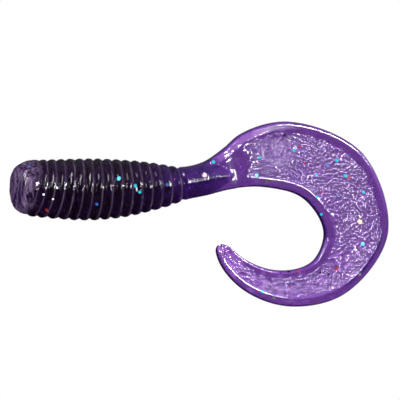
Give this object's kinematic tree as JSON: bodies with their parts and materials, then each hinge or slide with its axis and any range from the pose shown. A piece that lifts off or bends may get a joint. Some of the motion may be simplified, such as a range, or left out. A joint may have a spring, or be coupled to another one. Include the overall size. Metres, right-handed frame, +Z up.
{
  "type": "soft plastic worm",
  "caption": "Soft plastic fishing bait: a ribbed tapering body with a flat nose face, a plain neck and a flat curled swimming tail that flaps and uncurls.",
  "frame": {"origin": "the centre of the flat nose face", "axes": "+X runs from the nose to the tail, +Z is up as the bait swims, and Y is across the flat tail blade, which lies in the XZ plane"},
  "size_m": [0.0502, 0.008, 0.0241],
  "materials": {
    "body_front": "gloss",
    "body_second": "gloss",
    "body_third": "gloss",
    "body_rear": "gloss",
    "neck": "gloss",
    "tail_root": "gloss",
    "tail_rise": "gloss",
    "tail_crown": "gloss",
    "tail_shoulder": "gloss",
    "tail_back": "gloss",
    "tail_turn": "gloss",
    "tail_foot": "gloss",
    "tail_return": "gloss",
    "tail_tip": "gloss"
  },
  "bodies": {
    "body_front": {"body_front": "body_front"},
    "body_second": {"body_second": "body_second"},
    "body_third": {"body_third": "body_third"},
    "body_rear": {"body_rear": "body_rear"},
    "neck": {"neck": "neck"},
    "tail_root": {"tail_root": "tail_root"},
    "tail_rise": {"tail_rise": "tail_rise"},
    "tail_crown": {"tail_crown": "tail_crown"},
    "tail_shoulder": {"tail_shoulder": "tail_shoulder"},
    "tail_back": {"tail_back": "tail_back"},
    "tail_turn": {"tail_turn": "tail_turn"},
    "tail_foot": {"tail_foot": "tail_foot"},
    "tail_return": {"tail_return": "tail_return"},
    "tail_tip": {"tail_tip": "tail_tip"}
  },
  "joints": [
    {"name": "front_sway", "type": "hinge", "parent": "body_front", "child": "body_second", "pos_m": [0.01043, 0, -0.00017], "axis": [0, 0, 1], "range_deg": [-15, 15], "stiffness_Nm_per_rad": 0.0035},
    {"name": "middle_nod", "type": "hinge", "parent": "body_second", "child": "body_third", "pos_m": [0.01562, 0, 0.00001], "axis": [0, 1, 0], "range_deg": [-12, 12], "stiffness_Nm_per_rad": 0.0035},
    {"name": "rear_sway", "type": "hinge", "parent": "body_third", "child": "body_rear", "pos_m": [0.02029, 0, 0.00034], "axis": [0, 0, 1], "range_deg": [-15, 15], "stiffness_Nm_per_rad": 0.0025},
    {"name": "neck_nod", "type": "hinge", "parent": "body_rear", "child": "neck", "pos_m": [0.0237, 0, 0.00082], "axis": [0, 1, 0], "range_deg": [-15, 15], "stiffness_Nm_per_rad": 0.0015},
    {"name": "tail_wag", "type": "hinge", "parent": "neck", "child": "tail_root", "pos_m": [0.02648, 0, 0.00164], "axis": [-0.389, 0, 0.9212], "range_deg": [-25, 25], "stiffness_Nm_per_rad": 0.0011},
    {"name": "rise_open", "type": "hinge", "parent": "tail_root", "child": "tail_rise", "pos_m": [0.02938, 0, 0.00673], "axis": [0, -1, 0], "range_deg": [-1, 12], "stiffness_Nm_per_rad": 0.0025},
    {"name": "crown_flap", "type": "hinge", "parent": "tail_rise", "child": "tail_crown", "pos_m": [0.03691, 0, 0.00408], "axis": [0.0698, 0, 0.9976], "range_deg": [-25, 25], "stiffness_Nm_per_rad": 0.000084},
    {"name": "shoulder_open", "type": "hinge", "parent": "tail_crown", "child": "tail_shoulder", "pos_m": [0.04474, 0, 0.00609], "axis": [0, -1, 0], "range_deg": [-1, 12], "stiffness_Nm_per_rad": 0.0025},
    {"name": "back_flap", "type": "hinge", "parent": "tail_shoulder", "child": "tail_back", "pos_m": [0.04516, 0, -0.00211], "axis": [0.9136, 0, 0.4067], "range_deg": [-25, 25], "stiffness_Nm_per_rad": 0.000084},
    {"name": "turn_open", "type": "hinge", "parent": "tail_back", "child": "tail_turn", "pos_m": [0.04948, 0, -0.00797], "axis": [0, -1, 0], "range_deg": [-1, 12], "stiffness_Nm_per_rad": 0.002},
    {"name": "foot_flap", "type": "hinge", "parent": "tail_turn", "child": "tail_foot", "pos_m": [0.04223, 0, -0.01153], "axis": [0.7431, 0, -0.6691], "range_deg": [-25, 25], "stiffness_Nm_per_rad": 0.00005},
    {"name": "return_open", "type": "hinge", "parent": "tail_foot", "child": "tail_return", "pos_m": [0.03818, 0, -0.01539], "axis": [0, -1, 0], "range_deg": [-1, 12], "stiffness_Nm_per_rad": 0.001},
    {"name": "tip_flap", "type": "hinge", "parent": "tail_return", "child": "tail_tip", "pos_m": [0.03316, 0, -0.01234], "axis": [-0.4384, 0, -0.8988], "range_deg": [-25, 25], "stiffness_Nm_per_rad": 0.00003}
  ]
}
